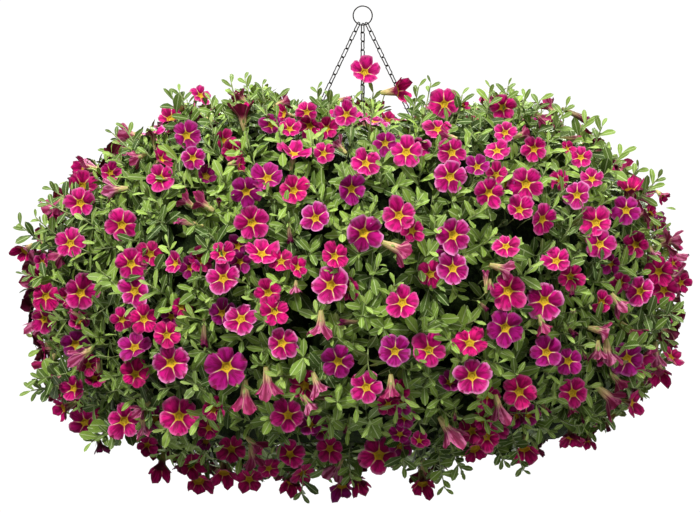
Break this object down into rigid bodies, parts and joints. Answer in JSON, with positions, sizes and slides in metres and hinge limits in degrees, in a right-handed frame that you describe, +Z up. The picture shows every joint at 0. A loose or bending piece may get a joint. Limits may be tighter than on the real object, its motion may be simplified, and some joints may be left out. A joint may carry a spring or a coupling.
{
  "type": "calibrachoa hanging basket",
  "caption": "Hanging basket of calibrachoa: a rounded trailing plant with pink, white-striped trumpet blooms in a pot hung on wire chains and a ring.",
  "frame": {"origin": "inner top of the ring, where the hook that holds the basket bears", "axes": "+Z up through the hook; +X to the right seen from the front; the front, which the picture shows, faces -Y"},
  "size_m": [0.6474, 0.5778, 0.4708],
  "materials": {
    "foliage": "matte",
    "bloom": "satin",
    "wire": "satin",
    "pot": "satin",
    "soil": "matte"
  },
  "bodies": {
    "root": {"HangerRing": "wire", "Chain_back": "wire", "Chain_left": "wire", "Chain_right": "wire", "Hook_back": "wire", "Hook_left": "wire", "Hook_right": "wire", "Pot": "pot", "Soil": "soil", "CentreSpray": "foliage", "Bough_01": "foliage", "Bough_02": "foliage", "Bough_03": "foliage", "Bough_04": "foliage", "Bough_05": "foliage", "Bough_06": "foliage", "Bough_07": "foliage", "Bough_08": "foliage", "Bough_09": "foliage", "Bough_10": "foliage", "Bough_11": "foliage", "Bough_12": "foliage", "Bough_13": "foliage", "Bough_14": "foliage", "Bough_15": "foliage"}
  },
  "joints": []
}
